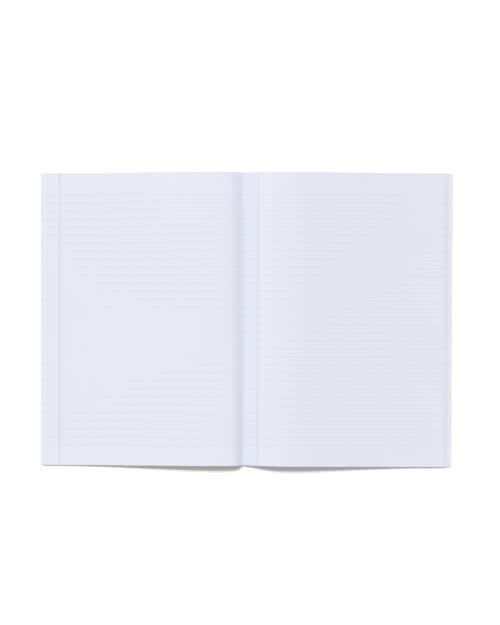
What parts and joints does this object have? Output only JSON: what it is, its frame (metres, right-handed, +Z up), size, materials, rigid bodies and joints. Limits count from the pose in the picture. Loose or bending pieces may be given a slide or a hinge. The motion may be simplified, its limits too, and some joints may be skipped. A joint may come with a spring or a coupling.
{
  "type": "exercise notebook",
  "caption": "Thin soft-cover notebook lying open, with ruled pages that swell beside the fold; its front half turns over about the fold to close.",
  "frame": {"origin": "on the table under the fold, halfway between head and tail", "axes": "+X across the spread to the right page's fore-edge, +Y along the fold to the head of the page, +Z up from the table"},
  "size_m": [0.3506, 0.25, 0.0052],
  "materials": {
    "ruled_paper": "matt uncoated",
    "cover_card": "matt uncoated",
    "staple_wire": "galvanised wire"
  },
  "bodies": {
    "back_half": {"back_cover": "cover_card", "right_leaves": "ruled_paper", "head_staple": "staple_wire", "tail_staple": "staple_wire"},
    "front_half": {"front_cover": "cover_card", "left_leaves": "ruled_paper"}
  },
  "joints": [
    {"name": "spine_fold", "type": "hinge", "parent": "back_half", "child": "front_half", "pos_m": [0, 0, 0.0061], "axis": [0, 1, 0], "range_deg": [0, 183]}
  ]
}
